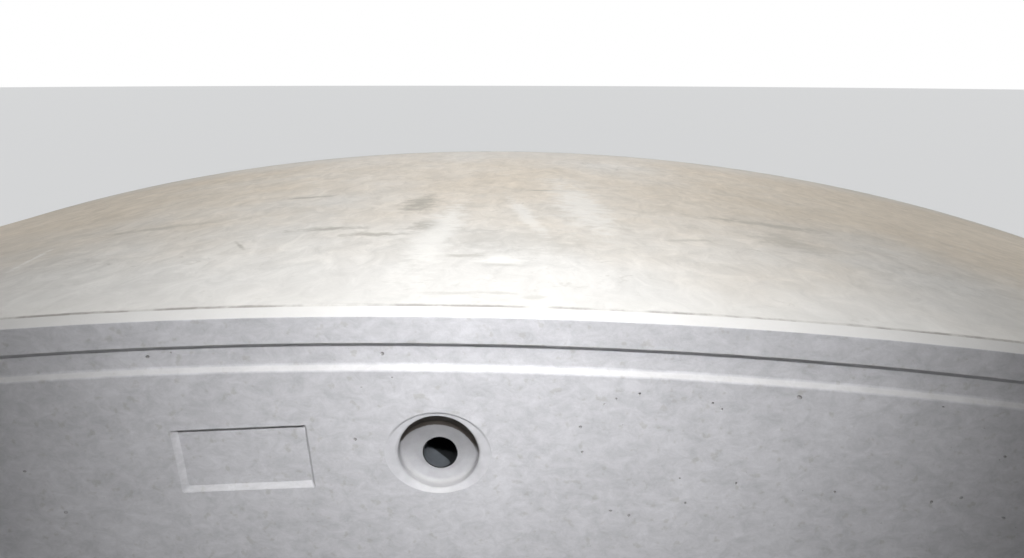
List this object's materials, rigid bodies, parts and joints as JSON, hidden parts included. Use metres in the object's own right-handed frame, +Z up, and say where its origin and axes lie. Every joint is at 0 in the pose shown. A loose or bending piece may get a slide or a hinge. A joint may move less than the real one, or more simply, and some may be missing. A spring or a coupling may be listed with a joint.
{
  "type": "precast tunnel segment",
  "caption": "Curved precast concrete lining segment of a bored tunnel, with gasket grooves, dished bolt sockets, curved bolt ducts and pockets.",
  "frame": {"origin": "middle of the base, on the floor under the crown, with the two inner long edges resting on it", "axes": "+X along the chord, +Y along the tunnel, +Z up through the crown"},
  "size_m": [4.041, 1.7, 0.6822],
  "materials": {
    "concrete": "fair-faced steel-mould concrete, trowelled back"
  },
  "bodies": {
    "root": {"tunnel_segment": "concrete"}
  },
  "joints": []
}
